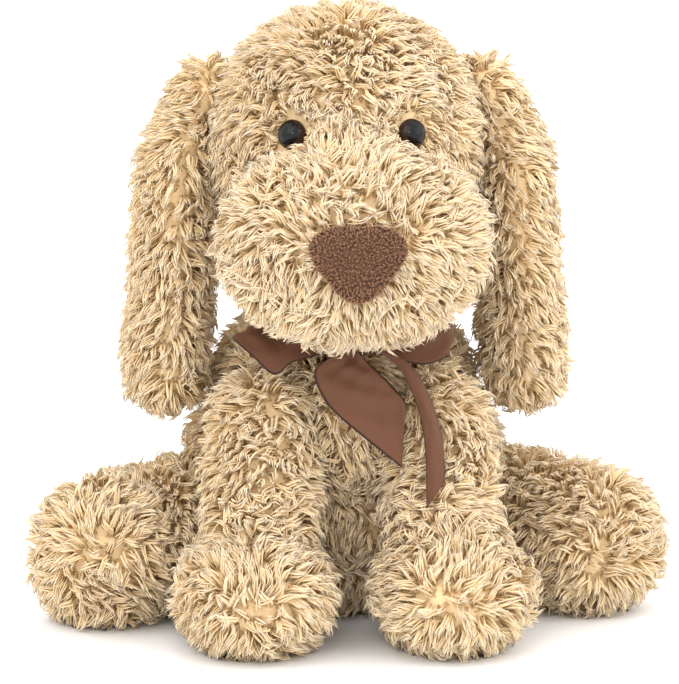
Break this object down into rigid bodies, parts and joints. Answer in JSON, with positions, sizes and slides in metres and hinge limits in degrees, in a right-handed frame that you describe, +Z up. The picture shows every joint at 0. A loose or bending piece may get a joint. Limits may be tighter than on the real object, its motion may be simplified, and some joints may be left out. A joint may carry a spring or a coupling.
{
  "type": "plush dog",
  "caption": "Sitting plush dog with long curly pile, a stuffed ball neck, jointed legs, hinged ears, a wagging tail and a ribbon bow under its chin.",
  "frame": {"origin": "on the floor under the middle of the sitting dog", "axes": "+Z up, the dog looks along -Y, its left side is +X"},
  "size_m": [0.253, 0.2076, 0.246],
  "materials": {
    "long_pile": "long curly tan pile",
    "fibre_stuffing": "white fibre",
    "pellets": "pellets in a cloth pouch",
    "washer_plastic": "plain",
    "eye_plastic": "glossy black",
    "nose_fleece": "short brown fleece",
    "ribbon_cloth": "thin brown ribbon"
  },
  "bodies": {
    "torso": {"torso_cover_left": "long_pile", "torso_cover_right": "long_pile", "torso_stuffing": "fibre_stuffing", "pellet_pouch": "pellets", "neck_ribbon": "ribbon_cloth", "bow_knot": "ribbon_cloth", "bow_loop_left": "ribbon_cloth", "bow_loop_right": "ribbon_cloth"},
    "neck": {"neck_ball": "long_pile"},
    "head": {"head_cover_face": "long_pile", "head_cover_back": "long_pile", "muzzle_cover_left": "long_pile", "muzzle_cover_right": "long_pile", "head_stuffing_left": "fibre_stuffing", "head_stuffing_right": "fibre_stuffing", "nose": "nose_fleece", "eye_left": "eye_plastic", "eye_right": "eye_plastic", "eye_washer_left": "washer_plastic", "eye_washer_right": "washer_plastic"},
    "ear_left": {"ear_left_outer": "long_pile", "ear_left_lining": "long_pile"},
    "ear_right": {"ear_right_outer": "long_pile", "ear_right_lining": "long_pile"},
    "front_leg_left": {"front_leg_left_outer": "long_pile", "front_leg_left_inner": "long_pile", "front_leg_left_stuffing": "fibre_stuffing"},
    "front_leg_right": {"front_leg_right_outer": "long_pile", "front_leg_right_inner": "long_pile", "front_leg_right_stuffing": "fibre_stuffing"},
    "hind_leg_left": {"hind_leg_left_upper": "long_pile", "hind_leg_left_sole": "long_pile", "hind_leg_left_stuffing": "fibre_stuffing"},
    "hind_leg_right": {"hind_leg_right_upper": "long_pile", "hind_leg_right_sole": "long_pile", "hind_leg_right_stuffing": "fibre_stuffing"},
    "tail": {"tail_cover": "long_pile", "tail_stuffing": "fibre_stuffing"},
    "ribbon_tails": {"ribbon_tail_short": "ribbon_cloth", "ribbon_tail_long": "ribbon_cloth"}
  },
  "joints": [
    {"name": "neck_turn", "type": "hinge", "parent": "torso", "child": "neck", "pos_m": [0, 0.0005, 0.14], "axis": [0, 0, 1], "range_deg": [-15, 15], "stiffness_Nm_per_rad": 1},
    {"name": "head_nod", "type": "hinge", "parent": "neck", "child": "head", "pos_m": [0, 0.0005, 0.14], "axis": [-1, 0, 0], "range_deg": [0, 20], "stiffness_Nm_per_rad": 1.5},
    {"name": "ear_left_flap", "type": "hinge", "parent": "head", "child": "ear_left", "pos_m": [0.05567, 0.0065, 0.216], "axis": [0, -1, 0], "range_deg": [0, 110]},
    {"name": "ear_right_flap", "type": "hinge", "parent": "head", "child": "ear_right", "pos_m": [-0.05567, 0.0065, 0.216], "axis": [0, 1, 0], "range_deg": [0, 110]},
    {"name": "front_leg_left_lift", "type": "hinge", "parent": "torso", "child": "front_leg_left", "pos_m": [0.033, -0.0295, 0.082], "axis": [-1, 0, 0], "range_deg": [0, 35], "stiffness_Nm_per_rad": 0.3},
    {"name": "front_leg_right_lift", "type": "hinge", "parent": "torso", "child": "front_leg_right", "pos_m": [-0.033, -0.0295, 0.082], "axis": [-1, 0, 0], "range_deg": [0, 35], "stiffness_Nm_per_rad": 0.3},
    {"name": "ribbon_tails_lift", "type": "hinge", "parent": "torso", "child": "ribbon_tails", "pos_m": [0.002, -0.0487, 0.1205], "axis": [-1, 0, 0], "range_deg": [0, 42]},
    {"name": "hind_leg_left_splay", "type": "hinge", "parent": "torso", "child": "hind_leg_left", "pos_m": [0.052, 0.0275, 0.034], "axis": [0, 0, 1], "range_deg": [0, 30], "stiffness_Nm_per_rad": 0.3},
    {"name": "hind_leg_right_splay", "type": "hinge", "parent": "torso", "child": "hind_leg_right", "pos_m": [-0.052, 0.0155, 0.034], "axis": [0, 0, -1], "range_deg": [0, 30], "stiffness_Nm_per_rad": 0.3},
    {"name": "tail_wag", "type": "hinge", "parent": "torso", "child": "tail", "pos_m": [0, 0.0755, 0.024], "axis": [0, 0, 1], "range_deg": [-20, 20], "stiffness_Nm_per_rad": 0.05}
  ],
  "couplings": [
    {"joint": "ribbon_tails_lift", "follows": "front_leg_left_lift", "ratio": 1.2}
  ]
}
